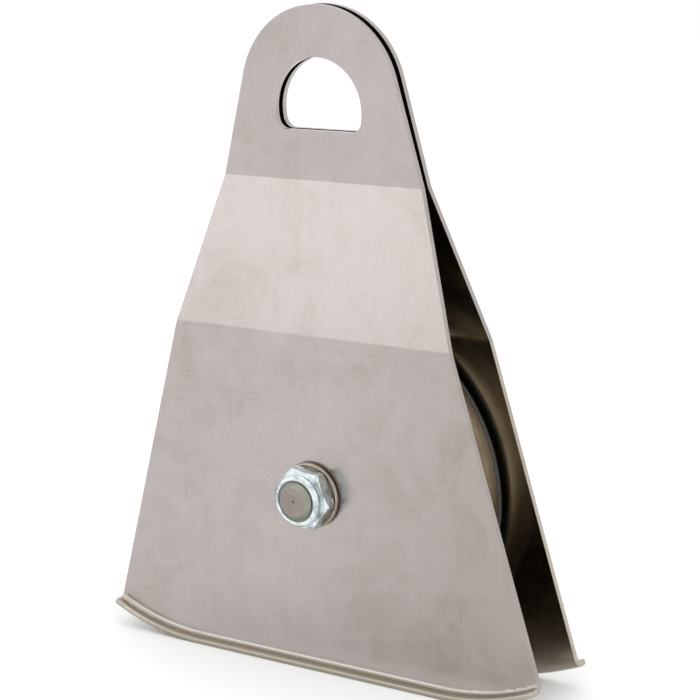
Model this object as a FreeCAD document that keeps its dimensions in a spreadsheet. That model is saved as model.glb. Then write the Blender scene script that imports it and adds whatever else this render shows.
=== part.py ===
import FreeCAD, Part
import math
import os
from types import SimpleNamespace

import Sketcher
from FreeCAD import Placement, Rotation, Vector

# Rescue pulley with one wide sheave between two swinging side plates. Millimetres. The axle lies
# along Y, the lock nut is at -Y, and the block stands on the turned-out lips of its plates at z = 0.
DRIVING = {
    # Side plates: heights are above the surface the block stands on, half widths are from x = 0.
    "sheetThickness": 2.0,
    "eyeGap": 1.8,
    "eyeTopGap": 2.8,
    "sheaveGap": 22.0,
    "upperBendHeight": 163.0,
    "lowerBendHeight": 113.0,
    "upperBendHalfWidth": 38.9,
    "lowerBendHalfWidth": 54.6,
    "baseHalfWidth": 88.1,
    "upperBendRadius": 1.5,
    "lowerBendRadius": 10.0,
    "eyeCentreHeight": 189.3,
    "eyeRadius": 30.5,
    "holeCentreHeight": 186.1,
    "holeRadius": 17.0,
    "holeFlatDrop": 6.6,
    "holeCornerRadius": 4.0,
    # Turned-out lip along the foot of each plate: straight in the middle, curving up at both ends.
    "flatHalfWidth": 49.0,
    "endArcRadius": 88.0,
    "endArcTurn": 28.5,
    "lipWidth": 3.8,
    "lipBendRadius": 1.5,
    "lipTipRadius": 0.9,
    # Axle and what is clamped on it.
    "axleHeight": 60.5,
    "axleRadius": 6.35,
    "boreClearance": 0.02,
    "pivotClearance": 0.06,
    "sideClearance": 0.3,
    "bushWall": 1.8,
    "washerRadius": 11.1,
    "washerThickness": 1.6,
    "washerChamfer": 0.4,
    "nutAcross": 19.05,
    "nutHexHeight": 4.8,
    "collarRadius": 8.8,
    "collarHeight": 2.7,
    "collarMouthRadius": 7.1,
    "insertRadius": 7.9,
    "insertHeight": 2.4,
    "nickRadius": 0.5,
    "nickDepth": 0.35,
    "nutTurn": 8.0,
    "headAcross": 19.05,
    "headHeight": 8.0,
    "axleStandOut": 1.6,
    "axleChamfer": 1.4,
    "centreMarkRadius": 0.7,
    "spacerRadius": 8.6,
    "spacerFlangeRadius": 11.0,
    "spacerFlangeHeight": 0.9,
    # Sheave: turned aluminium, with a rope groove and a ball bearing pressed into each side.
    "rimRadius": 59.8,
    "rimWidth": 18.0,
    "rimEdgeRadius": 0.8,
    "treadRadius": 50.8,
    "grooveRadius": 6.7,
    "grooveFlare": 10.0,
    "webThickness": 11.0,
    "webOuterRadius": 41.0,
    "webInnerRadius": 23.0,
    "hubRadius": 20.0,
    "hubWidth": 21.2,
    "landWidth": 1.6,
    "landRadius": 11.9,
    # Ball bearings of 12.7 mm bore.
    "bearingRadius": 14.2875,
    "bearingWidth": 7.94,
    "innerShoulderRadius": 8.9,
    "outerShoulderRadius": 11.9,
    "pitchRadius": 10.4,
    "ballRadius": 2.3,
    "raceClearance": 0.08,
    "cageThickness": 1.4,
    "cageWidth": 5.4,
    "pocketClearance": 0.05,
    "sealThickness": 0.8,
    "sealInset": 0.15,
    "sealGap": 0.4,
    # Retaining rings that hold the bearings in the sheave.
    "clipThickness": 1.0,
    "clipDepth": 0.9,
    "clipWidth": 2.2,
    "clipOpening": 5.0,
    "lugRadius": 1.7,
    "lugHoleRadius": 0.7,
}
BALL_COUNT = 8

doc = FreeCAD.newDocument("RescuePulley")
sheet = doc.addObject("Spreadsheet::Sheet", "Sizes")
for row, (alias, number) in enumerate(DRIVING.items(), start=1):
    sheet.set("A%d" % row, alias)
    sheet.set("B%d" % row, str(number))
    sheet.setAlias("B%d" % row, alias)
doc.recompute()


class Size:
    """A number worked out from the sheet, kept with the expression that gives it."""

    def __init__(self, text, number):
        self.text = text
        self.number = number

    def __add__(self, other):
        return Size("(%s + %s)" % (self.text, asSize(other).text), self.number + float(other))

    def __sub__(self, other):
        return Size("(%s - %s)" % (self.text, asSize(other).text), self.number - float(other))

    def __mul__(self, factor):
        return Size("(%s * %s)" % (self.text, asSize(factor).text), self.number * float(factor))

    def __truediv__(self, factor):
        return self * (1.0 / factor)

    def __neg__(self):
        return self * -1.0

    def __float__(self):
        return float(self.number)


def asSize(value):
    return value if isinstance(value, Size) else Size(repr(float(value)), float(value))


def otherLeg(slope, leg):
    """The third side of a right triangle, from its long side and one short side."""
    number = math.sqrt(float(slope) ** 2 - float(leg) ** 2)
    return Size("sqrt(%s ^ 2 - %s ^ 2)" % (slope.text, leg.text), number)


s = SimpleNamespace(**{alias: Size("Sizes." + alias, number) for alias, number in DRIVING.items()})

# Places along the axle, measured outwards from the middle of the sheave.
plateInside = s.sheaveGap / 2
plateOutside = plateInside + s.sheetThickness
bearingStart = s.landWidth / 2
bearingEnd = bearingStart + s.bearingWidth
hubEnd = s.hubWidth / 2
bushStart = plateInside - s.sideClearance
bushEnd = plateOutside + s.sideClearance
washerEnd = bushEnd + s.washerThickness
nutFace = washerEnd + s.nutHexHeight
nutEnd = nutFace + s.collarHeight
axleEnd = nutEnd + s.axleStandOut
boreRadius = s.axleRadius + s.boreClearance
bushRadius = boreRadius + s.bushWall
pivotRadius = bushRadius + s.pivotClearance


def bind(thing, name, value):
    thing.setExpression(name, asSize(value).text)


def planeOf(body, role):
    return next(feature for feature in body.Origin.OriginFeatures if feature.Role == role)


def makeBody(name):
    body = doc.addObject("PartDesign::Body", name)
    body.Label = name
    return body


def makeSketch(body, role, offset=None):
    """A sketch on one of the body's origin planes, moved along the plane's normal by offset."""
    sketch = body.newObject("Sketcher::SketchObject", body.Name + "Sketch")
    sketch.AttachmentSupport = [(planeOf(body, role), "")]
    sketch.MapMode = "FlatFace"
    if offset is not None:
        sketch.AttachmentOffset.Base.z = float(offset)
        bind(sketch, "AttachmentOffset.Base.z", offset)
    return sketch


def dimension(sketch, kind, *where):
    """Adds a dimensional constraint whose last argument is a Size, and binds it to the sheet."""
    value = asSize(where[-1])
    index = sketch.addConstraint(Sketcher.Constraint(kind, *where[:-1], float(value)))
    sketch.setExpression("Constraints[%d]" % index, value.text)


def locate(sketch, geometry, end, x, y):
    """Fixes an end or centre of a piece of geometry at x, y from the sketch's origin."""
    for kind, axis, value in (("DistanceX", -2, x), ("DistanceY", -1, y)):
        if float(value) == 0.0:
            sketch.addConstraint(Sketcher.Constraint("PointOnObject", geometry, end, axis))
        else:
            dimension(sketch, kind, -1, 1, geometry, end, value)


def addLine(sketch, start, end):
    points = [Vector(float(x), float(y), 0) for x, y in (start, end)]
    return sketch.addGeometry(Part.LineSegment(*points), False)


def addArc(sketch, centre, radius, first, last):
    """An arc that runs anticlockwise from angle first to angle last, in degrees."""
    circle = Part.Circle(Vector(float(centre[0]), float(centre[1]), 0), Vector(0, 0, 1), float(radius))
    arc = sketch.addGeometry(Part.ArcOfCircle(circle, math.radians(first), math.radians(last)), False)
    dimension(sketch, "Radius", arc, radius)
    return arc


def join(sketch, kind, *ends):
    sketch.addConstraint(Sketcher.Constraint(kind, *ends))


def addPolygon(sketch, points):
    """A closed outline of straight lines through points that are all bound to the sheet."""
    lines = [addLine(sketch, point, points[(i + 1) % len(points)]) for i, point in enumerate(points)]
    for i, line in enumerate(lines):
        join(sketch, "Coincident", line, 2, lines[(i + 1) % len(lines)], 1)
        locate(sketch, line, 1, *points[i])
    return lines


def feature(body, kind, sketch, **properties):
    made = body.newObject("PartDesign::" + kind, body.Name + kind)
    made.Profile = sketch
    for name, value in properties.items():
        if isinstance(value, Size):
            setattr(made, name, float(value))
            bind(made, name, value)
        else:
            setattr(made, name, value)
    return made


def turn(body, kind, points):
    """Revolution or Groove of a section given as (radius, place along the axle) points."""
    sketch = makeSketch(body, "XY_Plane")
    addPolygon(sketch, points)
    made = feature(body, kind, sketch, ReferenceAxis=(sketch, ["V_Axis"]), Angle=360.0)
    doc.recompute()
    return made


def onAxle(thing, turned=None):
    """Lifts a piece that was made about the Y axis onto the axle, and may turn it there."""
    angle = float(turned) if turned else 0.0
    thing.Placement = Placement(Vector(0, 0, float(s.axleHeight)), Rotation(Vector(0, 1, 0), angle))
    bind(thing, "Placement.Base.z", s.axleHeight)
    if turned:
        bind(thing, "Placement.Rotation.Angle", turned)
    return thing


def sleeve(name, inner, outer, start, end, chamfer=0.0):
    """A plain turned ring on the axle, with the same small chamfer on both outer edges."""
    body = makeBody(name)
    low, high = (start, end) if float(start) < float(end) else (end, start)
    section = [(inner, low), (outer, low), (outer, high), (inner, high)]
    if chamfer:
        section[1:3] = [
            (outer - chamfer, low),
            (outer, low + chamfer),
            (outer, high - chamfer),
            (outer - chamfer, high),
        ]
    turn(body, "Revolution", section)
    return onAxle(body)


def roundEdges(body, radius, wanted):
    """Rounds every edge of the body's tip that wanted(edge) picks."""
    doc.recompute()
    tip = body.Tip
    names = ["Edge%d" % (i + 1) for i, edge in enumerate(tip.Shape.Edges) if wanted(edge)]
    fillet = body.newObject("PartDesign::Fillet", body.Name + "Fillet")
    fillet.Base = (tip, names)
    fillet.Radius = float(radius)
    bind(fillet, "Radius", radius)
    doc.recompute()
    return fillet


# ---- side plates ----

eyeTop = s.eyeCentreHeight + s.eyeRadius
stripTop = eyeTop + s.sheetThickness
stripHalfWidth = s.baseHalfWidth + s.sheetThickness
lipEdge = plateOutside + s.lipWidth
bendDepth = s.lipBendRadius + s.sheetThickness


def bentStrip(body):
    """The plate seen from its edge, padded over half its width: eye, slanted part and cheek."""
    inside = [
        (plateInside, asSize(0)),
        (plateInside, s.lowerBendHeight),
        (s.eyeGap / 2, s.upperBendHeight),
        (s.eyeTopGap / 2, stripTop),
    ]
    outside = [(y + s.sheetThickness, z) for y, z in inside]
    sketch = makeSketch(body, "YZ_Plane")
    inner = [addLine(sketch, inside[i], inside[i + 1]) for i in range(3)]
    outer = [addLine(sketch, outside[i], outside[i + 1]) for i in range(3)]
    for i in range(3):
        locate(sketch, inner[i], 1, *inside[i])
        join(sketch, "Parallel", inner[i], outer[i])
        dimension(sketch, "Distance", outer[i], 1, inner[i], s.sheetThickness)
    locate(sketch, inner[2], 2, *inside[3])
    for i in range(2):
        join(sketch, "Coincident", inner[i], 2, inner[i + 1], 1)
        join(sketch, "Coincident", outer[i], 2, outer[i + 1], 1)
    for strip, end in ((0, 1), (2, 2)):
        cap = addLine(sketch, inside[strip + end - 1], outside[strip + end - 1])
        join(sketch, "Coincident", cap, 1, inner[strip], end)
        join(sketch, "Coincident", cap, 2, outer[strip], end)
        join(sketch, "Horizontal", cap)
    feature(body, "Pad", sketch, Length=stripHalfWidth)
    for radius, level, bulges in (
        (s.upperBendRadius, s.upperBendHeight, True),
        (s.lowerBendRadius, s.lowerBendHeight, False),
    ):
        near = s.sheetThickness * 1.5
        roundEdges(body, radius + s.sheetThickness, lambda e: isBend(e, level, near, bulges))
        roundEdges(body, radius, lambda e: isBend(e, level, near, not bulges))


def isBend(edge, level, near, innerFace):
    """True for the sharp edge along X of one face of the strip close to a bend's height."""
    ends = [vertex.Point for vertex in edge.Vertexes]
    if len(ends) < 2 or abs(ends[0].z - ends[1].z) > 0.01 or abs(ends[0].x - ends[1].x) < 1:
        return False
    if abs(ends[0].z - float(level)) > float(near):
        return False
    middle = s.eyeGap / 2 if float(level) == float(s.upperBendHeight) else plateInside
    onInside = abs(ends[0].y - float(middle)) < 0.01
    return onInside == innerFace


def cutOutline(body):
    """Cuts the right half of the front view: round eye, shoulders and slanted sides."""
    sketch = makeSketch(body, "XZ_Plane")
    wide = stripHalfWidth + s.sheetThickness
    high = stripTop + s.sheetThickness
    slope = (float(s.upperBendHalfWidth) - float(s.eyeRadius)) / float(s.eyeCentreHeight - s.upperBendHeight)
    touch = (s.eyeRadius, s.eyeCentreHeight + s.eyeRadius * slope)
    points = [
        touch,
        (s.upperBendHalfWidth, s.upperBendHeight),
        (s.lowerBendHalfWidth, s.lowerBendHeight),
        (s.baseHalfWidth, asSize(0)),
        (wide, asSize(0)),
        (wide, high),
        (asSize(0), high),
        (asSize(0), eyeTop),
    ]
    lines = [addLine(sketch, points[i], points[i + 1]) for i in range(7)]
    for i, line in enumerate(lines):
        if i:
            join(sketch, "Coincident", lines[i - 1], 2, line, 1)
            locate(sketch, line, 1, *points[i])
    join(sketch, "PointOnObject", lines[6], 2, -2)
    eye = addArc(sketch, (0, s.eyeCentreHeight), s.eyeRadius, 15, 90)
    locate(sketch, eye, 3, 0, s.eyeCentreHeight)
    join(sketch, "Coincident", eye, 2, lines[6], 2)
    join(sketch, "Tangent", eye, 1, lines[0], 1)
    feature(body, "Pocket", sketch, Type="ThroughAll", Midplane=True)


def cutHole(body):
    """Cuts the right half of the D-shaped hole: round above, flat below, with rounded corners."""
    sketch = makeSketch(body, "XZ_Plane")
    flat = s.holeCentreHeight - s.holeFlatDrop
    corner = s.holeCornerRadius
    top = s.holeCentreHeight + s.holeRadius
    middle = addLine(sketch, (0, top), (0, flat))
    foot = addLine(sketch, (0, flat), (s.holeRadius * 0.7, flat))
    turned = addArc(sketch, (s.holeRadius * 0.65, flat + corner), corner, 270, 340)
    arch = addArc(sketch, (0, s.holeCentreHeight), s.holeRadius, -20, 90)
    locate(sketch, middle, 2, 0, flat)
    join(sketch, "Vertical", middle)
    join(sketch, "Horizontal", foot)
    join(sketch, "Coincident", middle, 2, foot, 1)
    join(sketch, "Tangent", foot, 2, turned, 1)
    join(sketch, "Tangent", turned, 2, arch, 1)
    locate(sketch, arch, 3, 0, s.holeCentreHeight)
    join(sketch, "Coincident", arch, 2, middle, 1)
    feature(body, "Pocket", sketch, Type="ThroughAll", Midplane=True)


def cutFoot(body):
    """Cuts the cheek back to the line where the lip's bend begins."""
    sketch = makeSketch(body, "XZ_Plane")
    radius = s.endArcRadius - bendDepth
    low = -s.sheetThickness
    rise = 15.0
    centre = (s.flatHalfWidth, s.endArcRadius)
    start = addLine(sketch, (0, low), (0, bendDepth))
    straight = addLine(sketch, (0, bendDepth), (s.flatHalfWidth, bendDepth))
    curve = addArc(sketch, centre, radius, 270, 310)
    side = addLine(sketch, (stripHalfWidth, rise), (stripHalfWidth, low))
    base = addLine(sketch, (stripHalfWidth, low), (0, low))
    locate(sketch, start, 1, 0, low)
    locate(sketch, straight, 1, 0, bendDepth)
    join(sketch, "Coincident", start, 2, straight, 1)
    join(sketch, "Horizontal", straight)
    join(sketch, "Tangent", straight, 2, curve, 1)
    dimension(sketch, "DistanceX", -1, 1, curve, 3, s.flatHalfWidth)
    join(sketch, "Coincident", curve, 2, side, 1)
    locate(sketch, side, 2, stripHalfWidth, low)
    join(sketch, "Vertical", side)
    join(sketch, "Coincident", side, 2, base, 1)
    join(sketch, "Coincident", base, 2, start, 1)
    feature(body, "Pocket", sketch, Type="ThroughAll", Midplane=True)


def lipSection(body, offset):
    """The turned-out lip seen from its end, with a short leg that runs up into the cheek."""
    sketch = makeSketch(body, "YZ_Plane", offset)
    legTop = bendDepth + s.sheetThickness
    bendCentre = (plateOutside + s.lipBendRadius, bendDepth)
    tip = s.lipTipRadius
    axis = sketch.addGeometry(
        Part.LineSegment(
            Vector(0, float(s.endArcRadius), 0), Vector(float(lipEdge), float(s.endArcRadius), 0)
        ),
        True,
    )
    locate(sketch, axis, 1, 0, s.endArcRadius)
    locate(sketch, axis, 2, lipEdge, s.endArcRadius)
    inner = addLine(sketch, (plateInside, legTop), (plateInside, bendDepth))
    outerBend = addArc(sketch, bendCentre, bendDepth, 180, 270)
    under = addLine(sketch, (bendCentre[0], 0), (lipEdge - tip, 0))
    lowTip = addArc(sketch, (lipEdge - tip, tip), tip, 270, 360)
    end = addLine(sketch, (lipEdge, tip), (lipEdge, s.sheetThickness - tip))
    highTip = addArc(sketch, (lipEdge - tip, s.sheetThickness - tip), tip, 0, 90)
    over = addLine(sketch, (lipEdge - tip, s.sheetThickness), (bendCentre[0], s.sheetThickness))
    innerBend = addArc(sketch, bendCentre, s.lipBendRadius, 180, 270)
    outer = addLine(sketch, (plateOutside, bendDepth), (plateOutside, legTop))
    cap = addLine(sketch, (plateOutside, legTop), (plateInside, legTop))
    locate(sketch, inner, 1, plateInside, legTop)
    locate(sketch, outer, 2, plateOutside, legTop)
    locate(sketch, outerBend, 3, *bendCentre)
    locate(sketch, innerBend, 3, *bendCentre)
    locate(sketch, lowTip, 3, lipEdge - tip, tip)
    locate(sketch, highTip, 3, lipEdge - tip, s.sheetThickness - tip)
    join(sketch, "Tangent", inner, 2, outerBend, 1)
    join(sketch, "Tangent", outerBend, 2, under, 1)
    join(sketch, "Tangent", under, 2, lowTip, 1)
    join(sketch, "Tangent", lowTip, 2, end, 1)
    join(sketch, "Tangent", end, 2, highTip, 1)
    join(sketch, "Tangent", highTip, 2, over, 1)
    join(sketch, "Tangent", over, 2, innerBend, 2)
    join(sketch, "Tangent", innerBend, 1, outer, 1)
    join(sketch, "Coincident", outer, 2, cap, 1)
    join(sketch, "Coincident", cap, 2, inner, 1)
    return sketch


def cutPivot(body):
    """Cuts the hole that turns on the plate's bush."""
    sketch = makeSketch(body, "XZ_Plane")
    circle = Part.Circle(Vector(0, float(s.axleHeight), 0), Vector(0, 0, 1), float(pivotRadius))
    rim = sketch.addGeometry(circle, False)
    dimension(sketch, "Radius", rim, pivotRadius)
    locate(sketch, rim, 3, 0, s.axleHeight)
    feature(body, "Pocket", sketch, Type="ThroughAll", Midplane=True)


def sidePlate(name, facing):
    """One half is modelled and mirrored; facing turns the plate to its side of the sheave."""
    body = makeBody(name + "_half")
    bentStrip(body)
    cutFoot(body)
    doc.recompute()
    feature(body, "Pad", lipSection(body, None), Length=s.flatHalfWidth)
    doc.recompute()
    section = lipSection(body, s.flatHalfWidth)
    feature(body, "Revolution", section, ReferenceAxis=(section, ["Axis0"]), Angle=s.endArcTurn, Reversed=True)
    doc.recompute()
    cutOutline(body)
    doc.recompute()
    cutHole(body)
    doc.recompute()
    cutPivot(body)
    doc.recompute()
    other = doc.addObject("Part::Mirroring", name + "_other_half")
    other.Source = body
    other.Normal = Vector(1, 0, 0)
    whole = doc.addObject("Part::Fuse", name)
    whole.Base = body
    whole.Tool = other
    whole.Refine = True
    whole.Label = name
    whole.Placement = Placement(Vector(), Rotation(Vector(0, 0, 1), facing))
    doc.recompute()
    return whole


pieces = [sidePlate("front_plate", 180), sidePlate("back_plate", 0)]

# ---- axle and what is clamped on it ----


def hexagon(body, across, start, end):
    """A hexagonal bar along the axle, with its corners turned down on both ends."""
    low, high = (start, end) if float(start) < float(end) else (end, start)
    sketch = makeSketch(body, "XZ_Plane", -low)
    corner = across / 3 ** 0.5
    points = []
    for step in range(6):
        angle = 60 * step
        spoke = Rotation(Vector(0, 0, 1), angle).multVec(Vector(1, 0, 0))
        points.append((corner * round(spoke.x, 6), corner * round(spoke.y, 6)))
    addPolygon(sketch, points)
    feature(body, "Pad", sketch, Length=high - low, Reversed=True)
    doc.recompute()
    flat = across / 2
    depth = (corner - flat) / 2
    for end, way in ((low, 1), (high, -1)):
        turn(body, "Groove", [(flat, end), (corner + depth, end), (corner + depth, end + (depth * 2) * way)])


def lockNut():
    body = makeBody("lock_nut")
    hexagon(body, s.nutAcross, -nutFace, -washerEnd)
    recess = nutEnd - s.collarHeight / 6
    turn(body, "Revolution", [
        (boreRadius, -washerEnd - s.nutHexHeight / 2),
        (s.collarRadius, -washerEnd - s.nutHexHeight / 2),
        (s.collarRadius, -nutEnd + s.axleChamfer / 2),
        (s.collarRadius - s.axleChamfer / 2, -nutEnd),
        (boreRadius, -nutEnd),
    ])
    turn(body, "Groove", [
        (asSize(0), asSize(0)), (boreRadius, asSize(0)), (boreRadius, -nutEnd), (asSize(0), -nutEnd)
    ])
    turn(body, "Groove", [
        (asSize(0), -recess + s.insertHeight),
        (s.insertRadius, -recess + s.insertHeight),
        (s.insertRadius, -recess),
        (s.collarMouthRadius, -recess),
        (s.collarMouthRadius, -nutEnd),
        (asSize(0), -nutEnd),
    ])
    sketch = makeSketch(body, "XZ_Plane", nutEnd)
    nick = sketch.addGeometry(Part.Circle(Vector(float(s.collarRadius), 0, 0), Vector(0, 0, 1), 0.5), False)
    dimension(sketch, "Radius", nick, s.nickRadius)
    locate(sketch, nick, 3, s.collarRadius, 0)
    cut = feature(body, "Pocket", sketch, Length=s.nickDepth)
    nicks = body.newObject("PartDesign::PolarPattern", "lock_nut_nicks")
    nicks.Originals = [cut]
    nicks.Axis = (sketch, ["N_Axis"])
    nicks.Angle = 360
    nicks.Occurrences = 6
    body.Tip = nicks
    return onAxle(body, s.nutTurn)


def axleBolt():
    body = makeBody("axle_bolt")
    hexagon(body, s.headAcross, washerEnd, washerEnd + s.headHeight)
    turn(body, "Revolution", [
        (asSize(0), washerEnd + s.headHeight / 2),
        (s.axleRadius, washerEnd + s.headHeight / 2),
        (s.axleRadius, -axleEnd + s.axleChamfer),
        (s.axleRadius - s.axleChamfer, -axleEnd),
        (s.centreMarkRadius, -axleEnd),
        (asSize(0), -axleEnd + s.centreMarkRadius),
    ])
    return onAxle(body)


insertEnd = nutEnd - s.collarHeight / 6
pieces += [
    axleBolt(),
    lockNut(),
    sleeve("lock_nut_insert", boreRadius, s.insertRadius, -insertEnd, -insertEnd + s.insertHeight),
    sleeve("bearing_spacer", boreRadius, s.innerShoulderRadius, -bearingStart, bearingStart),
]
for name, way in (("front", -1), ("back", 1)):
    bush = sleeve(name + "_plate_bush", boreRadius, bushRadius, bushStart * way, bushEnd * way)
    washer = sleeve(
        name + "_washer", boreRadius, s.washerRadius, bushEnd * way, washerEnd * way, s.washerChamfer
    )
    body = makeBody(name + "_thrust_spacer")
    turn(body, "Revolution", [
        (boreRadius, bearingEnd * way),
        (s.spacerRadius, bearingEnd * way),
        (s.spacerRadius, (bushStart - s.spacerFlangeHeight) * way),
        (s.spacerFlangeRadius, (bushStart - s.spacerFlangeHeight) * way),
        (s.spacerFlangeRadius, bushStart * way),
        (boreRadius, bushStart * way),
    ])
    pieces += [bush, washer, onAxle(body)]

# ---- sheave ----


def makeSheave():
    body = makeBody("sheave")
    clipStart = bearingEnd
    clipEnd = clipStart + s.clipThickness + s.pocketClearance
    half = [
        (s.landRadius, bearingStart),
        (s.bearingRadius, bearingStart),
        (s.bearingRadius, clipStart),
        (s.bearingRadius + s.clipDepth, clipStart),
        (s.bearingRadius + s.clipDepth, clipEnd),
        (s.bearingRadius, clipEnd),
        (s.bearingRadius, hubEnd),
        (s.hubRadius, hubEnd),
        (s.webInnerRadius, s.webThickness / 2),
        (s.webOuterRadius, s.webThickness / 2),
        (s.webOuterRadius + (s.rimWidth - s.webThickness) / 2, s.rimWidth / 2),
        (s.rimRadius, s.rimWidth / 2),
    ]
    turn(body, "Revolution", half + [(radius, -place) for radius, place in reversed(half)])
    ropeGroove(body)
    roundEdges(body, s.rimEdgeRadius, lambda edge: isRound(edge, s.rimRadius))
    return onAxle(body)


def isRound(edge, radius):
    return hasattr(edge.Curve, "Radius") and abs(edge.Curve.Radius - float(radius)) < 0.01


def ropeGroove(body):
    """A round-bottomed groove whose sides open out towards the rim."""
    sketch = makeSketch(body, "XY_Plane")
    centre = (s.treadRadius + s.grooveRadius, asSize(0))
    outside = s.rimRadius + s.rimEdgeRadius
    bottom = addArc(sketch, centre, s.grooveRadius, 90 + 15, 270 - 15)
    mouth = s.grooveRadius * 1.06
    upper = addLine(sketch, (centre[0], s.grooveRadius), (outside, mouth))
    lower = addLine(sketch, (outside, -mouth), (centre[0], -s.grooveRadius))
    across = addLine(sketch, (outside, mouth), (outside, -mouth))
    locate(sketch, bottom, 3, *centre)
    join(sketch, "Tangent", bottom, 1, upper, 1)
    join(sketch, "Tangent", bottom, 2, lower, 2)
    join(sketch, "Coincident", upper, 2, across, 1)
    join(sketch, "Coincident", across, 2, lower, 1)
    dimension(sketch, "DistanceX", -1, 1, across, 1, outside)
    join(sketch, "Symmetric", across, 1, across, 2, -1)
    index = sketch.addConstraint(Sketcher.Constraint("Angle", upper, math.radians(float(s.grooveFlare))))
    sketch.setExpression("Constraints[%d]" % index, "Sizes.grooveFlare * 1 deg")
    feature(body, "Groove", sketch, ReferenceAxis=(sketch, ["V_Axis"]), Angle=360.0)
    doc.recompute()


pieces.append(makeSheave())

# ---- bearings ----


def race(body, clearance, middle):
    """Turns the ball track into a bearing ring."""
    sketch = makeSketch(body, "XY_Plane")
    circle = Part.Circle(
        Vector(float(s.pitchRadius), float(middle), 0), Vector(0, 0, 1), float(s.ballRadius + clearance)
    )
    track = sketch.addGeometry(circle, False)
    dimension(sketch, "Radius", track, s.ballRadius + clearance)
    locate(sketch, track, 3, s.pitchRadius, middle)
    feature(body, "Groove", sketch, ReferenceAxis=(sketch, ["V_Axis"]), Angle=360.0)


def bearingRing(name, inner, outer, start, end):
    body = makeBody(name)
    low, high = (start, end) if float(start) < float(end) else (end, start)
    turn(body, "Revolution", [(inner, low), (outer, low), (outer, high), (inner, high)])
    race(body, s.raceClearance, (start + end) / 2)
    return onAxle(body)


def ballPlace(thing, step, middle):
    """Puts a ball-sized piece on the pitch circle of a bearing."""
    angle = "%d * 360 deg / %d" % (step, BALL_COUNT)
    turned = 2 * math.pi * step / BALL_COUNT
    radius = float(s.pitchRadius)
    thing.Placement.Base = Vector(
        radius * math.sin(turned), float(middle), float(s.axleHeight) + radius * math.cos(turned)
    )
    thing.setExpression("Placement.Base.x", "Sizes.pitchRadius * sin(%s)" % angle)
    thing.setExpression("Placement.Base.y", middle.text)
    thing.setExpression("Placement.Base.z", "Sizes.axleHeight + Sizes.pitchRadius * cos(%s)" % angle)


def ballSet(name, middle):
    balls = []
    for step in range(BALL_COUNT):
        ball = doc.addObject("Part::Sphere", "%s_ball_%d" % (name, step + 1))
        ball.Radius = float(s.ballRadius)
        bind(ball, "Radius", s.ballRadius)
        ballPlace(ball, step, middle)
        balls.append(ball)
    together = doc.addObject("Part::Compound", name + "_balls")
    together.Links = balls
    together.Label = name + "_balls"
    return together


def ballCage(name, middle):
    """A ring with one drilled pocket for each ball."""
    body = makeBody(name + "_cage")
    inner = s.pitchRadius - s.cageThickness / 2
    outer = s.pitchRadius + s.cageThickness / 2
    low, high = middle - s.cageWidth / 2, middle + s.cageWidth / 2
    turn(body, "Revolution", [(inner, low), (outer, low), (outer, high), (inner, high)])
    sketch = makeSketch(body, "XY_Plane")
    circle = Part.Circle(
        Vector(0, float(middle), 0), Vector(0, 0, 1), float(s.ballRadius + s.pocketClearance)
    )
    pocket = sketch.addGeometry(circle, False)
    dimension(sketch, "Radius", pocket, s.ballRadius + s.pocketClearance)
    locate(sketch, pocket, 3, 0, middle)
    drilled = feature(body, "Pocket", sketch, Length=outer + s.cageThickness, Reversed=True)
    doc.recompute()
    pattern = body.newObject("PartDesign::PolarPattern", body.Name + "Pattern")
    pattern.Originals = [drilled]
    pattern.Axis = (sketch, ["V_Axis"])
    pattern.Angle = 360.0
    pattern.Occurrences = BALL_COUNT
    body.Tip = pattern
    doc.recompute()
    return onAxle(body)


def seals(name, start, end, way):
    """Two thin discs pressed into the outer ring, just clear of the inner ring."""
    discs = []
    for side, face, inwards in (("inner", start, way), ("outer", end, -way)):
        near = face + s.sealInset * inwards
        far = near + s.sealThickness * inwards
        disc = sleeve(
            "%s_%s_seal" % (name, side), s.innerShoulderRadius + s.sealGap, s.outerShoulderRadius, near, far
        )
        discs.append(disc)
    together = doc.addObject("Part::Compound", name + "_seals")
    together.Links = discs
    together.Label = name + "_seals"
    return together


def retainingRing(name, start, end):
    """An open spring ring with two drilled lugs, sprung into the groove beside a bearing."""
    low = start if float(start) < float(end) else end
    outer = s.bearingRadius + s.clipDepth - s.pocketClearance
    inner = outer - s.clipWidth
    blank = sleeve(name + "_blank", inner, outer, start, end)
    lugAway = s.clipOpening / 2 + s.lugRadius
    lugHeight = otherLeg(s.bearingRadius - s.lugRadius - s.boreClearance * 4, lugAway)
    solids, cutters = [blank], []
    for side in (-1, 1):
        for kind, group, radius in (("lug", solids, s.lugRadius), ("eye", cutters, s.lugHoleRadius)):
            pin = doc.addObject("Part::Cylinder", "%s_%s_%d" % (name, kind, side + 2))
            pin.Placement = Placement(Vector(), Rotation(Vector(1, 0, 0), -90))
            for field, value in (
                ("Radius", radius),
                ("Height", s.clipThickness),
                ("Placement.Base.x", lugAway * side),
                ("Placement.Base.y", low),
                ("Placement.Base.z", s.axleHeight + lugHeight),
            ):
                bind(pin, field, value)
            group.append(pin)
    opening = doc.addObject("Part::Box", name + "_opening")
    for field, value in (
        ("Length", s.clipOpening),
        ("Width", s.clipThickness * 3),
        ("Height", outer * 2),
        ("Placement.Base.x", -s.clipOpening / 2),
        ("Placement.Base.y", low - s.clipThickness),
        ("Placement.Base.z", s.axleHeight),
    ):
        bind(opening, field, value)
    cutters.append(opening)
    full = doc.addObject("Part::MultiFuse", name + "_full")
    full.Shapes = solids
    gone = doc.addObject("Part::Compound", name + "_gone")
    gone.Links = cutters
    clip = doc.addObject("Part::Cut", name)
    clip.Base = full
    clip.Tool = gone
    clip.Label = name
    return clip


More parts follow.
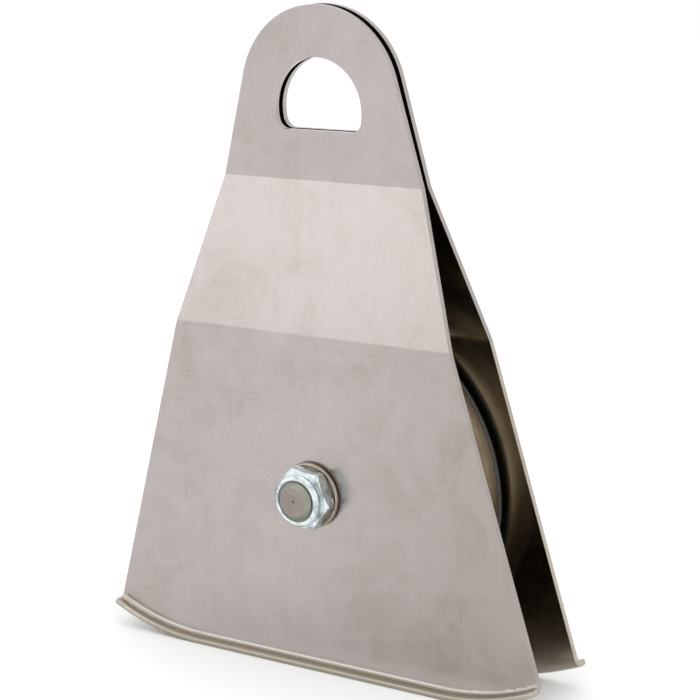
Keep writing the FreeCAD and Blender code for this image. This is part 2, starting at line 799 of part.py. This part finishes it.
for side, way in (("front", -1), ("back", 1)):
    name = side + "_bearing"
    start, end = bearingStart * way, bearingEnd * way
    middle = (start + end) / 2
    pieces += [
        bearingRing(name + "_inner_ring", boreRadius, s.innerShoulderRadius, start, end),
        bearingRing(name + "_outer_ring", s.outerShoulderRadius, s.bearingRadius, start, end),
        seals(name, start, end, way),
        retainingRing(side + "_retaining_ring", end, end + s.clipThickness * way),
        ballSet(name, middle),
        ballCage(name, middle),
    ]

# ---- check and write ----

doc.recompute()
for thing in doc.Objects:
    if "Invalid" in thing.State or "Error" in thing.State:
        raise RuntimeError("%s: %s" % (thing.Name, thing.State))
os.makedirs("parts", exist_ok=True)
for piece in pieces:
    if piece.Shape.isNull() or not piece.Shape.isValid():
        raise RuntimeError(piece.Label + " has no valid shape")
for piece in pieces:
    piece.Shape.exportStep("parts/%s.step" % piece.Label)
    box = piece.Shape.optimalBoundingBox()
    spans = (box.XMin, box.XMax, box.YMin, box.YMax, box.ZMin, box.ZMax)
    print(piece.Label, len(piece.Shape.Solids), round(piece.Shape.Volume), [round(v, 2) for v in spans])
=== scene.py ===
import math
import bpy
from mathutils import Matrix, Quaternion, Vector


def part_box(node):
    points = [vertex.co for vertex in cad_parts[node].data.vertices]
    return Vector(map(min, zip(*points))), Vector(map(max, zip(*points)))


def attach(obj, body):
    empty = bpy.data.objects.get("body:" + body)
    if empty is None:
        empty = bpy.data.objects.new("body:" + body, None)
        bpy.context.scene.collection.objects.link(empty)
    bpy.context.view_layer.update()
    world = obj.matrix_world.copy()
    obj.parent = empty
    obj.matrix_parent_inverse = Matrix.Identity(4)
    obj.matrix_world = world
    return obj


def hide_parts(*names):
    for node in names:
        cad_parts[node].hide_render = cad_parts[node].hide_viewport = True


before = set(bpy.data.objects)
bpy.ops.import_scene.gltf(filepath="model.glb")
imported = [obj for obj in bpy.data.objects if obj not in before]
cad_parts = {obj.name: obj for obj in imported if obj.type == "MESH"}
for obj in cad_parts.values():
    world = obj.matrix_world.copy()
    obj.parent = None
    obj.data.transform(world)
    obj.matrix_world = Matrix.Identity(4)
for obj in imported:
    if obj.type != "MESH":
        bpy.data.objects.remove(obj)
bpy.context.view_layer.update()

# looks of a single pulley: two side plates that swing on the axle of one sheave

axleLow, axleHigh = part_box("axle_bolt")
axleHeight = (axleLow.z + axleHigh.z) / 2
print("frame loaded,", len(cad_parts), "nodes")


# node helpers: inputs are given by name, as a value or as the socket that feeds them

def addNode(tree, kind, inputs=None, **settings):
    node = tree.nodes.new("ShaderNode" + kind)
    for name, value in settings.items():
        setattr(node, name, value)
    for name, value in (inputs or {}).items():
        feed(tree, node.inputs[name], value)
    return node


def feed(tree, socket, value):
    if isinstance(value, bpy.types.NodeSocket):
        tree.links.new(value, socket)
    elif socket.type == "RGBA" and len(value) == 3:
        socket.default_value = (*value, 1)
    else:
        socket.default_value = value


def newFinish(name, metal):
    finish = bpy.data.materials.new(name)
    finish.use_nodes = True
    shader = finish.node_tree.nodes["Principled BSDF"]
    shader.inputs["Metallic"].default_value = metal
    return finish, finish.node_tree, shader


def placeOnPiece(tree, stretch=(1, 1, 1), turn=(0, 0, 0), move=(0, 0, 0)):
    spot = addNode(tree, "TexCoord").outputs["Object"]
    inputs = {"Vector": spot, "Scale": stretch, "Rotation": turn, "Location": move}
    return addNode(tree, "Mapping", inputs).outputs["Vector"]


# moves a value from one span to another, both as (low, high)

def remap(tree, value, span, onto=(0, 1)):
    inputs = {"Value": value, "From Min": span[0], "From Max": span[1], "To Min": onto[0], "To Max": onto[1]}
    return addNode(tree, "MapRange", inputs).outputs["Result"]


middling = (0.3, 0.7)    # nearly all of a noise lies in this span


# mixes the second colour into the first by share; a Mix node's colours are sockets 6, 7 and 2

def tint(tree, share, first, second):
    mix = addNode(tree, "Mix", data_type="RGBA")
    feed(tree, mix.inputs[0], share)
    feed(tree, mix.inputs[6], first)
    feed(tree, mix.inputs[7], second)
    return mix.outputs[2]


def sums(tree, way, first, second):
    node = addNode(tree, "Math", operation=way)
    feed(tree, node.inputs[0], first)
    feed(tree, node.inputs[1], second)
    return node.outputs[0]


# noise from 0 to 1: size is how wide its blotches are, in metres

def cloud(tree, spot, look):
    inputs = {
        "Vector": spot, "Scale": 1 / look["size"], "Detail": look["detail"],
        "Roughness": look["rough"], "Distortion": look.get("warp", 0),
    }
    return addNode(tree, "TexNoise", inputs).outputs["Fac"]


# one noise for each row of looks, by name

def clouds(tree, looks):
    made = {}
    for name, look in looks.items():
        spot = placeOnPiece(tree, look.get("stretch", (1, 1, 1)), look.get("turn", (0, 0, 0)))
        made[name] = cloud(tree, spot, look)
    return made


# bumps the surface by a noise, with the strength and depth in its row

def raised(tree, shader, height, look):
    inputs = {"Height": height, "Strength": look["bump"], "Distance": look["depth"]}
    before = shader.inputs["Normal"]
    if before.is_linked:
        inputs["Normal"] = before.links[0].from_socket
    feed(tree, before, addNode(tree, "Bump", inputs).outputs["Normal"])


def darker(tone, by):
    return tuple(by * part for part in tone)


# distance from the axle's middle line, and place along it: alike all round the axle

def turnedSpot(tree):
    parts = addNode(tree, "SeparateXYZ", {"Vector": placeOnPiece(tree, move=(0, 0, -axleHeight))}).outputs
    across = addNode(tree, "CombineXYZ", {"X": parts["X"], "Y": parts["Z"]}).outputs["Vector"]
    radius = addNode(tree, "VectorMath", {"Vector": across}, operation="LENGTH").outputs["Value"]
    return addNode(tree, "CombineXYZ", {"X": radius, "Y": parts["Y"]}).outputs["Vector"]


# stainless sheet: faint upright grain, cloudy stains, rub marks and small pits, with painted shade to one
# side (the shade share), a darker copy for the inner faces as painted shade, painted light and shade by the
# floor, and lighter edges as a painted highlight

sheetLooks = {
    "sheet": {
        "tone": (0.405, 0.368, 0.356), "paleTone": (0.445, 0.410, 0.398), "stainTone": (0.345, 0.300, 0.268),
        "markTone": (0.19, 0.145, 0.11), "footTone": (0.47, 0.44, 0.42), "smooth": 0.16, "dull": 0.26,
        "shade": 0.60, "marks": 0.26,
    },
    # painted shade: the same steel in a darker, browner copy for the faces between the plates
    "sheetInside": {
        "tone": (0.285, 0.245, 0.19), "paleTone": (0.32, 0.28, 0.22), "stainTone": (0.255, 0.215, 0.165),
        "markTone": (0.22, 0.18, 0.13), "footTone": (0.46, 0.43, 0.39), "smooth": 0.14, "dull": 0.24,
        "shade": 0.0, "marks": 0.1,
    },
    # painted highlight: lighter worn edges
    "sheetEdge": {
        "tone": (0.56, 0.53, 0.49), "paleTone": (0.66, 0.63, 0.60), "stainTone": (0.42, 0.38, 0.32),
        "markTone": (0.20, 0.17, 0.13), "footTone": (0.50, 0.46, 0.38), "smooth": 0.24, "dull": 0.40,
        "shade": 0.0, "marks": 0.3,
    },
    "sheetLip": {
        "tone": (0.42, 0.385, 0.325), "paleTone": (0.48, 0.445, 0.38), "stainTone": (0.32, 0.28, 0.225),
        "markTone": (0.14, 0.11, 0.08), "footTone": (0.36, 0.325, 0.265), "smooth": 0.28, "dull": 0.42,
        "shade": 0.0, "marks": 0.4,
    },
}

sheetPatterns = {
    "mottle": {
        "size": 0.012, "detail": 6, "rough": 0.66, "warp": 0.4,
        "span": (0.35, 0.65), "bump": 0.05, "depth": 0.0005,
    },
    "stain": {
        "size": 0.030, "detail": 6, "rough": 0.66, "warp": 0.8,
        "span": (0.48, 0.70), "share": 0.42, "dulls": 0.05,
    },
    "fleck": {"size": 0.0011, "detail": 3, "rough": 0.7, "span": (0.52, 0.72), "share": 0.30},
    "band": {
        "size": 0.0035, "detail": 3, "rough": 0.6, "stretch": (1, 1, 0.06),
        "span": (0.35, 0.65), "share": 0.45,
    },
    "grain": {
        "size": 0.0004, "detail": 2, "rough": 0.6, "stretch": (1, 1, 0.02),
        "span": (0.35, 0.65), "share": 0.12, "dulls": (-0.02, 0.04), "bump": 0.06, "depth": 0.0001,
    },
    "rub": {
        "size": 0.0008, "detail": 3, "rough": 0.6, "stretch": (0.06, 1, 1), "turn": (0, 0.10, 0),
        "span": (0.54, 0.72), "bump": 0.05, "depth": 0.0001,
    },
    "scratch": {
        "size": 0.0006, "detail": 1, "rough": 0.4, "stretch": (1, 1, 0.05), "turn": (0, 0.62, 0),
        "span": (0.74, 0.80),
    },
    "pit": {"size": 0.0013, "detail": 1, "rough": 0.5, "span": (0.78, 0.83)},
}

# painted shade: the colour darkens to one side, less so higher up, and more where the sheet is stained
sheetPaintedShade = {"span": (-0.02, 0.05), "lean": 0.3, "stained": (0.7, 1.4), "darken": 0.8}

# painted light and shade by the floor: the foot tone, a painted floor reflection on the faces and inside and
# a painted shade on the edges and lip, fades out between two heights
sheetPaintedFoot = {"span": (0.003, 0.009), "share": (0.9, 0)}


def sheetSteel(name, look):
    finish, tree, shader = newFinish(name, metal=1.0)
    axes = addNode(tree, "SeparateXYZ", {"Vector": placeOnPiece(tree)}).outputs
    noise = clouds(tree, sheetPatterns)

    def share(key, most=1.0):
        return remap(tree, noise[key], sheetPatterns[key]["span"], (0, most))

    def spread(tone, key, towards):
        return tint(tree, share(key, sheetPatterns[key]["share"]), tone, look[towards])

    stain = share("stain")
    grime = sums(tree, "MULTIPLY", share("rub"), stain)
    # painted shade: a darkened stain tone mixed in to one side and lower down, more where stained
    lean = sums(tree, "SUBTRACT", axes["X"], sums(tree, "MULTIPLY", axes["Z"], sheetPaintedShade["lean"]))
    shade = remap(tree, lean, sheetPaintedShade["span"], (0, look["shade"]))
    shade = sums(tree, "MULTIPLY", remap(tree, stain, (0, 1), sheetPaintedShade["stained"]), shade)

    tone = tint(tree, share("mottle"), look["tone"], look["paleTone"])
    tone = spread(tone, "band", "paleTone")
    tone = tint(tree, shade, tone, darker(look["stainTone"], sheetPaintedShade["darken"]))
    tone = spread(tone, "stain", "stainTone")
    tone = spread(tone, "fleck", "stainTone")
    tone = spread(tone, "grain", "paleTone")
    tone = tint(tree, sums(tree, "MULTIPLY", grime, look["marks"]), tone, look["markTone"])
    tone = tint(tree, share("scratch", look["marks"]), tone, look["markTone"])
    tone = tint(tree, share("pit", look["marks"]), tone, look["markTone"])
    # painted floor reflection and painted shade near the floor
    tone = tint(tree, remap(tree, axes["Z"], sheetPaintedFoot["span"], sheetPaintedFoot["share"]), tone, look["footTone"])
    feed(tree, shader.inputs["Base Color"], tone)

    rough = remap(tree, noise["mottle"], middling, (look["smooth"], look["dull"]))
    rough = sums(tree, "ADD", rough, remap(tree, noise["grain"], middling, sheetPatterns["grain"]["dulls"]))
    rough = sums(tree, "ADD", rough, share("stain", sheetPatterns["stain"]["dulls"]))
    feed(tree, shader.inputs["Roughness"], rough)
    for key in ("grain", "rub", "mottle"):
        raised(tree, shader, noise[key], sheetPatterns[key])
    return finish


# bare turned metal: fine tool rings about the axle, cloudy tarnish and small marks; the lighter edge looks
# are worn edges with a painted highlight, and the axle's chamfer look is a painted highlight

turnedLooks = {
    "sheave": {
        "tone": (0.56, 0.50, 0.41), "other": (0.44, 0.385, 0.31),
        "smooth": 0.24, "dull": 0.38, "ring": 0.0007,
    },
    "washer": {
        "tone": (0.24, 0.208, 0.178), "other": (0.17, 0.145, 0.122),
        "smooth": 0.26, "dull": 0.42, "ring": 0.0004,
    },
    # painted highlight: lighter worn edges
    "washerEdge": {
        "tone": (0.50, 0.44, 0.38), "other": (0.34, 0.29, 0.25),
        "smooth": 0.22, "dull": 0.36, "ring": 0.0004,
    },
    "axle": {
        "tone": (0.235, 0.20, 0.185), "other": (0.31, 0.27, 0.25),
        "smooth": 0.30, "dull": 0.44, "ring": 0.0005,
    },
    # painted highlight: the lighter, greener tone of the axle's chamfer
    "thread": {
        "tone": (0.36, 0.375, 0.335), "other": (0.24, 0.255, 0.225),
        "smooth": 0.34, "dull": 0.5, "ring": 0.0004,
    },
    # painted highlight: lighter worn edges
    "axleEdge": {
        "tone": (0.58, 0.49, 0.43), "other": (0.38, 0.32, 0.28),
        "smooth": 0.24, "dull": 0.38, "ring": 0.0004,
    },
    "race": {
        "tone": (0.60, 0.60, 0.60), "other": (0.50, 0.50, 0.50),
        "smooth": 0.12, "dull": 0.22, "ring": 0.0003,
    },
    "spacer": {
        "tone": (0.55, 0.55, 0.54), "other": (0.47, 0.47, 0.46),
        "smooth": 0.22, "dull": 0.34, "ring": 0.0005,
    },
    "bronze": {
        "tone": (0.55, 0.37, 0.17), "other": (0.40, 0.25, 0.11),
        "smooth": 0.30, "dull": 0.46, "ring": 0.0005,
    },
    "spring": {
        "tone": (0.10, 0.10, 0.105), "other": (0.06, 0.06, 0.06),
        "smooth": 0.36, "dull": 0.5, "ring": 0.0006,
    },
}

turnedPatterns = {
    "rings": {
        "detail": 2, "rough": 0.6,
        "span": (0.35, 0.65), "share": 0.35, "dulls": (-0.03, 0.04), "bump": 0.22, "depth": 0.0001,
    },
    "mottle": {
        "size": 0.009, "detail": 5, "rough": 0.6, "warp": 0.5,
        "span": (0.35, 0.68), "bump": 0.05, "depth": 0.0004,
    },
    "fleck": {"size": 0.0016, "detail": 3, "rough": 0.7, "span": (0.66, 0.76), "share": 0.35, "darken": 0.4},
}


def turnedMetal(name, look):
    finish, tree, shader = newFinish(name, metal=1.0)
    ringLook = turnedPatterns["rings"] | {"size": look["ring"]}
    mottleLook = turnedPatterns["mottle"]
    fleckLook = turnedPatterns["fleck"]
    rings = cloud(tree, turnedSpot(tree), ringLook)
    mottle = cloud(tree, placeOnPiece(tree), mottleLook)
    fleck = cloud(tree, placeOnPiece(tree), fleckLook)

    ringShare = remap(tree, rings, ringLook["span"], (0, ringLook["share"]))
    fleckShare = remap(tree, fleck, fleckLook["span"], (0, fleckLook["share"]))
    tone = tint(tree, remap(tree, mottle, mottleLook["span"]), look["tone"], look["other"])
    tone = tint(tree, ringShare, tone, look["other"])
    tone = tint(tree, fleckShare, tone, darker(look["other"], fleckLook["darken"]))
    feed(tree, shader.inputs["Base Color"], tone)

    rough = remap(tree, mottle, middling, (look["smooth"], look["dull"]))
    rough = sums(tree, "ADD", rough, remap(tree, rings, middling, ringLook["dulls"]))
    feed(tree, shader.inputs["Roughness"], rough)
    raised(tree, shader, rings, ringLook)
    raised(tree, shader, mottle, mottleLook)
    return finish


# bright zinc plating with dark blotches, a painted reflection, over metal with small dents

zincLooks = {
    "zinc": {
        "tone": (0.72, 0.79, 0.83), "shade": (0.27, 0.33, 0.35), "glow": (0.60, 0.68, 0.58),
        "smooth": 0.10, "dull": 0.26,
    },
    # painted highlight: lighter worn edges
    "zincEdge": {
        "tone": (0.84, 0.90, 0.94), "shade": (0.60, 0.66, 0.70), "glow": (0.75, 0.80, 0.74),
        "smooth": 0.10, "dull": 0.26,
    },
}

zincPatterns = {
    "mist": {"size": 0.0035, "detail": 4, "rough": 0.6, "warp": 0.6, "span": (0.42, 0.62), "share": 0.9},
    "hue": {"size": 0.006, "detail": 2, "rough": 0.5, "span": (0.45, 0.7), "share": 0.5},
    "dent": {"size": 0.0012, "detail": 3, "rough": 0.6, "bump": 0.7, "depth": 0.0002},
}


def zincPlate(name, look):
    finish, tree, shader = newFinish(name, metal=1.0)
    noise = clouds(tree, zincPatterns)
    tone = look["tone"]
    # painted reflection: the dark shade tone mixed in by blotches; the roughness follows the same blotches
    for key, towards in (("mist", "shade"), ("hue", "glow")):
        pattern = zincPatterns[key]
        share = remap(tree, noise[key], pattern["span"], (0, pattern["share"]))
        tone = tint(tree, share, tone, look[towards])
    feed(tree, shader.inputs["Base Color"], tone)
    rough = remap(tree, noise["mist"], middling, (look["smooth"], look["dull"]))
    feed(tree, shader.inputs["Roughness"], rough)
    raised(tree, shader, noise["dent"], zincPatterns["dent"])
    return finish


# nylon, rubber, and the near-black painted shade on the sheave's rim and edges

softLooks = {
    "nylon": {
        "tone": (0.27, 0.295, 0.25), "other": (0.18, 0.20, 0.17),
        "smooth": 0.38, "dull": 0.55, "grit": 0.0006,
    },
    # painted shade: the sheave's rim and edges made near-black
    "rim": {
        "tone": (0.050, 0.045, 0.038), "other": (0.036, 0.032, 0.027),
        "smooth": 0.55, "dull": 0.7, "grit": 0.0005,
    },
    "rubber": {
        "tone": (0.022, 0.022, 0.022), "other": (0.045, 0.043, 0.04),
        "smooth": 0.5, "dull": 0.7, "grit": 0.0004,
    },
}

softPatterns = {
    "mottle": {"size": 0.004, "detail": 4, "rough": 0.6},
    "grit": {"detail": 2, "rough": 0.6, "bump": 0.25, "depth": 0.0001},
}


def mouldedFinish(name, look):
    finish, tree, shader = newFinish(name, metal=0.0)
    spot = placeOnPiece(tree)
    mottle = cloud(tree, spot, softPatterns["mottle"])
    grit = cloud(tree, spot, softPatterns["grit"] | {"size": look["grit"]})
    feed(tree, shader.inputs["Base Color"], tint(tree, mottle, look["tone"], look["other"]))
    feed(tree, shader.inputs["Roughness"], remap(tree, grit, middling, (look["smooth"], look["dull"])))
    raised(tree, shader, grit, softPatterns["grit"])
    return finish


finishes = {}
for looks, make in (
    (sheetLooks, sheetSteel),
    (turnedLooks, turnedMetal),
    (zincLooks, zincPlate),
    (softLooks, mouldedFinish),
):
    for name, look in looks.items():
        finishes[name] = make(name + "Finish", look)

nodeFinishes = {
    "front_plate": "sheet", "back_plate": "sheet",
    "axle_bolt": "axle", "lock_nut": "zinc", "lock_nut_insert": "nylon",
    "front_washer": "washer", "back_washer": "washer",
    "front_plate_bush": "bronze", "back_plate_bush": "bronze",
    "front_thrust_spacer": "spacer", "back_thrust_spacer": "spacer", "bearing_spacer": "spacer",
    "sheave": "sheave",
    "inner_ring": "race", "outer_ring": "race", "balls": "race",
    "seals": "rubber", "cage": "spacer", "retaining_ring": "spring",
}

# a bearing's part is looked up without its side and the word bearing
for name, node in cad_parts.items():
    key = name if name in nodeFinishes else name.split("_", 1)[1].replace("bearing_", "")
    finish = finishes[nodeFinishes[key]]
    for slot in node.material_slots:
        slot.material = finish
    if not node.material_slots:
        node.data.materials.append(finish)
print("finishes made for", len(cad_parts), "nodes")


# pieces in view: the merged shape of a node with its sharp edges worn round
# angles are in degrees, and each list of finishes has the faces' first and the rounded edges' second; on the
# plates, axle, nut and washers the edge finish is lighter, worn edges with a painted highlight

wearLook = {
    "mergeWithin": 0.00001,
    "flat": 0.4,
    "segments": 2,
    "edgeFinish": 1,
    "evenWeight": 100,
}


def wornCopy(node, look):
    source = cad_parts[node]
    piece = bpy.data.objects.new(look["name"], source.data.copy())
    piece.data.transform(source.matrix_world)
    bpy.context.collection.objects.link(piece)
    bpy.ops.object.select_all(action="DESELECT")
    piece.select_set(True)
    bpy.context.view_layer.objects.active = piece
    bpy.ops.object.mode_set(mode="EDIT")
    bpy.ops.mesh.select_all(action="SELECT")
    bpy.ops.mesh.remove_doubles(threshold=wearLook["mergeWithin"])
    bpy.ops.mesh.dissolve_limited(angle_limit=math.radians(wearLook["flat"]))
    bpy.ops.mesh.normals_make_consistent(inside=False)
    bpy.ops.mesh.select_all(action="DESELECT")
    bpy.ops.object.mode_set(mode="OBJECT")
    piece.data.materials.clear()
    for key in look["finishes"]:
        piece.data.materials.append(finishes[key])
    # the rounded edges take the edge finish: lighter worn edges with a painted highlight on most pieces, the
    # near-black painted shade on the sheave
    worn = piece.modifiers.new("wornEdge", "BEVEL")
    worn.width = look["edge"]
    worn.segments = wearLook["segments"]
    worn.limit_method = "ANGLE"
    worn.angle_limit = math.radians(look["sharp"])
    worn.material = wearLook["edgeFinish"]
    bpy.ops.object.modifier_apply(modifier=worn.name)
    even = piece.modifiers.new("evenShading", "WEIGHTED_NORMAL")
    even.weight = wearLook["evenWeight"]
    even.keep_sharp = True
    bpy.ops.object.shade_smooth_by_angle(angle=math.radians(look["sharp"]))
    bpy.ops.object.modifier_apply(modifier=even.name)
    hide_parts(node)
    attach(piece, look["body"])
    return piece


# facingIn is how squarely a face looks inwards, lipFrom how far out the turned-out lip starts; inward faces
# get the darker inside copy, a painted shade between the plates

plateLook = {
    "slot": "plate", "edge": 0.00032, "sharp": 40,
    "finishes": ("sheet", "sheetEdge", "sheetInside", "sheetLip"),
    "facingIn": 0.3,
    "lipFrom": 0.0132,
}
shadedInsideFinish = plateLook["finishes"].index("sheetInside")
lipFinish = plateLook["finishes"].index("sheetLip")

for side, outwards in (("front", -1), ("back", 1)):
    own = {"name": side + "PlateWorn", "body": side + "_side_plate"}
    plate = wornCopy(side + "_plate", plateLook | own)
    for face in plate.data.polygons:
        if face.material_index == wearLook["edgeFinish"]:
            continue
        if abs(face.center.y) > plateLook["lipFrom"]:
            face.material_index = lipFinish
        # painted shade on the faces that look inwards
        elif face.normal.y * outwards < -plateLook["facingIn"]:
            face.material_index = shadedInsideFinish
print("side plates worn")

# the start distances of the axle's chamfer highlight and of the sheave's rim are from the axle's middle
# line, slope a span of normals' y

smallLooks = {
    "axle_bolt": {
        "name": "axleBoltWorn", "body": "axle", "slot": "axle",
        "edge": 0.0005, "sharp": 28, "finishes": ("axle", "axleEdge", "thread"),
        "threadFrom": 0.003,
        "slope": (-0.9, -0.3),
    },
    "lock_nut": {
        "name": "lockNutWorn", "body": "axle", "slot": "zinc",
        "edge": 0.00028, "sharp": 28, "finishes": ("zinc", "zincEdge"),
    },
    "front_washer": {
        "name": "frontWasherWorn", "body": "axle", "slot": "washer",
        "edge": 0.0002, "sharp": 28, "finishes": ("washer", "washerEdge"),
    },
    "sheave": {
        "name": "sheaveWorn", "body": "sheave", "slot": "aluminium",
        "edge": 0.0002, "sharp": 40, "finishes": ("sheave", "rim"),
        "rimFrom": 0.0588,
    },
    "back_washer": {
        "name": "backWasherWorn", "body": "axle", "slot": "washer",
        "edge": 0.0002, "sharp": 28, "finishes": ("washer", "washerEdge"),
    },
}
smallPieces = {node: wornCopy(node, look) for node, look in smallLooks.items()}


# faces of a piece that lie further than start from the axle's middle line

def facesBeyond(node, start):
    for face in smallPieces[node].data.polygons:
        if math.hypot(face.center.x, face.center.z - axleHeight) > start:
            yield face


# painted highlight: the sloping end of the axle is painted lighter and greener along its chamfer
axleLook = smallLooks["axle_bolt"]
steep, shallow = axleLook["slope"]
for face in facesBeyond("axle_bolt", axleLook["threadFrom"]):
    if face.material_index != wearLook["edgeFinish"] and steep < face.normal.y < shallow:
        face.material_index = axleLook["finishes"].index("thread")

# painted shade: the sheave's outer rim takes the near-black finish
sheaveLook = smallLooks["sheave"]
for face in facesBeyond("sheave", sheaveLook["rimFrom"]):
    face.material_index = sheaveLook["finishes"].index("rim")
print("axle, nut, washers and sheave worn")


# stage: pale floor, three soft boxes, pale sky, and the camera

stageLook = {
    "floorSize": 9.0,
    "floorTone": (0.93, 0.93, 0.93),
    "floorRoughness": 0.85,
    "floorSpecular": 0.2,
    "skyTone": (1.0, 0.995, 0.99),
    "skyStrength": 1.06,
}

bpy.ops.object.select_all(action="DESELECT")
bpy.ops.mesh.primitive_plane_add(size=stageLook["floorSize"], location=(0, 0, 0))
floor = bpy.context.active_object
floor.name = "studioFloor"
floorFinish, _, floorShader = newFinish("floorFinish", metal=0.0)
floorShader.inputs["Base Color"].default_value = (*stageLook["floorTone"], 1)
floorShader.inputs["Roughness"].default_value = stageLook["floorRoughness"]
floorShader.inputs["Specular IOR Level"].default_value = stageLook["floorSpecular"]
floor.data.materials.append(floorFinish)

world = bpy.data.worlds.new("studioSky")
world.use_nodes = True
sky = world.node_tree.nodes["Background"]
sky.inputs["Color"].default_value = (*stageLook["skyTone"], 1)
sky.inputs["Strength"].default_value = stageLook["skyStrength"]
bpy.context.scene.world = world

softBoxes = {
    "frontBox": {"at": (-0.9, -1.7, 0.95), "size": (1.8, 1.5), "power": 6.0},
    "topBox": {"at": (0.3, -0.2, 1.8), "size": (2.0, 2.0), "power": 8.0},
    "sideBox": {"at": (1.9, -0.6, 0.9), "size": (1.0, 1.4), "power": 4.0},
}
aim = Vector((0, 0, 0.11))    # about the middle of the block

for name, box in softBoxes.items():
    turn = (Vector(box["at"]) - aim).to_track_quat("Z", "Y").to_euler()
    bpy.ops.object.light_add(type="AREA", location=box["at"], rotation=turn)
    lamp = bpy.context.active_object
    lamp.name = name
    lamp.data.shape = "RECTANGLE"
    lamp.data.size, lamp.data.size_y = box["size"]
    lamp.data.energy = box["power"]

# azimuth is from -Y towards +X; lens and sensor are in millimetres
cameraLook = {
    "target": (0.00773, 0, 0.10748),
    "azimuth": 35.11,
    "elevation": 13.10,
    "roll": -1.66,
    "distance": 0.7163,
    "lens": 112.44,
    "sensor": 36.0,
    "clipStart": 0.01,
}
azimuth = math.radians(cameraLook["azimuth"])
elevation = math.radians(cameraLook["elevation"])
level = math.cos(elevation)
back = Vector((math.sin(azimuth) * level, -math.cos(azimuth) * level, math.sin(elevation)))
roll = Quaternion((0, 0, 1), math.radians(cameraLook["roll"]))
cameraTurn = (back.to_track_quat("Z", "Y") @ roll).to_euler()
cameraPlace = Vector(cameraLook["target"]) + back * cameraLook["distance"]
bpy.ops.object.camera_add(location=cameraPlace, rotation=cameraTurn)
camera = bpy.context.active_object
camera.name = "mainCamera"
camera.data.lens = cameraLook["lens"]
camera.data.sensor_width = cameraLook["sensor"]
camera.data.dof.use_dof = False
camera.data.clip_start = cameraLook["clipStart"]
bpy.context.scene.camera = camera
bpy.context.scene.view_settings.view_transform = "Standard"
print("stage ready")
